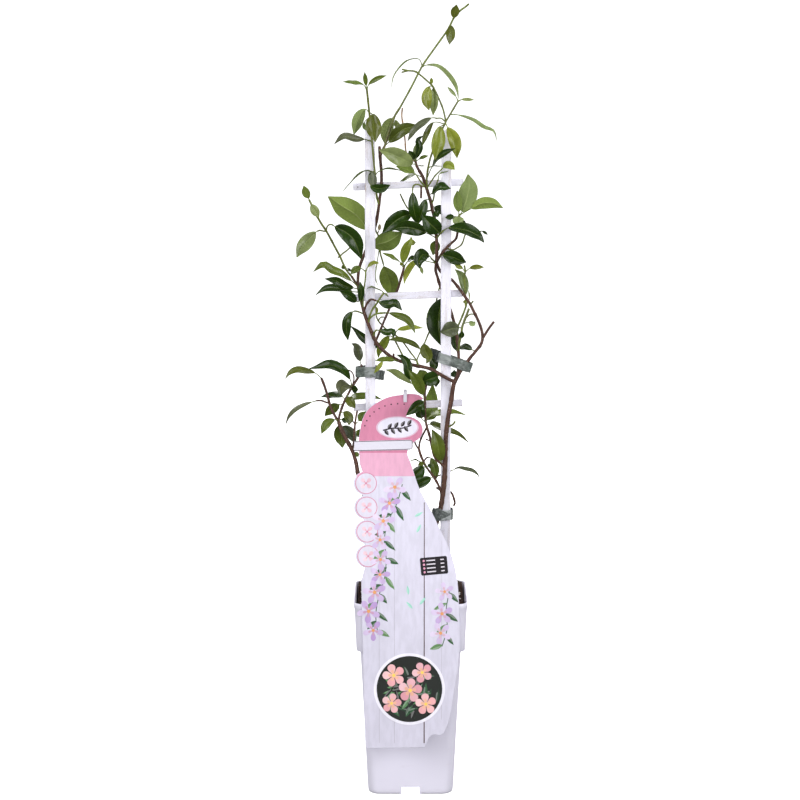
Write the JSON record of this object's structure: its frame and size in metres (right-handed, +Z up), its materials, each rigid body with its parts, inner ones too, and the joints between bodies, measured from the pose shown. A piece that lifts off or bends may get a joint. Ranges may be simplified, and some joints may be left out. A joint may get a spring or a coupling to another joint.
{
  "type": "potted climbing plant on a ladder",
  "caption": "Star jasmine trained up a small white wooden ladder in a tall square tapered plastic pot, with tape ties and a leaning die-cut care card.",
  "frame": {"origin": "centre of the pot's foot, on the ground", "axes": "+Z up, front with the care card towards -Y, +X to the viewer's right"},
  "size_m": [0.2115, 0.1459, 0.7635],
  "materials": {
    "pot_plastic": "lavender-white moulded plastic, satin, fine drag lines, scuffed rim",
    "potting_soil": "damp dark peat with white perlite grains and bark crumbs",
    "white_wood": "thin white limewash over sawn softwood, grain and a few pale knots showing",
    "tie_tape": "grey-green stretch tape, slightly see-through, crumpled",
    "printed_card": "printed card with a thin gloss coat, pink head over pale boards",
    "paper_strip": "white paper strip with a dark grey edge line",
    "clip_plastic": "white moulded plastic",
    "leafy_wood": "red-brown bark with dark green glossy leaves, paler under the leaf",
    "leafy_shoot": "slender green stems with mid green to yellow-green leaves"
  },
  "bodies": {
    "root": {"pot": "pot_plastic", "soil": "potting_soil", "stile_left": "white_wood", "stile_right": "white_wood", "rung_bottom": "white_wood", "rung_middle": "white_wood", "rung_top": "white_wood", "tie_left": "tie_tape", "tie_right": "tie_tape", "tie_base": "tie_tape", "label_card": "printed_card", "label_strip": "paper_strip", "label_clip": "clip_plastic", "old_stems": "leafy_wood", "low_stems": "leafy_wood", "side_branch_upper": "leafy_wood", "side_branch_lower": "leafy_wood", "shoot_upper_left": "leafy_shoot", "shoot_loop_left": "leafy_shoot", "shoot_node_left": "leafy_shoot", "shoot_centre": "leafy_shoot", "shoot_thin_centre": "leafy_shoot", "shoot_short_centre": "leafy_shoot", "shoot_hanging_left": "leafy_shoot", "shoot_hanging_centre": "leafy_shoot", "shoot_crown": "leafy_shoot", "shoot_leader": "leafy_shoot", "shoot_left_tall": "leafy_shoot", "shoot_right_tall": "leafy_shoot", "shoot_right_thin": "leafy_shoot", "shoot_right_mid": "leafy_shoot", "shoot_right_low": "leafy_shoot"}
  },
  "joints": []
}
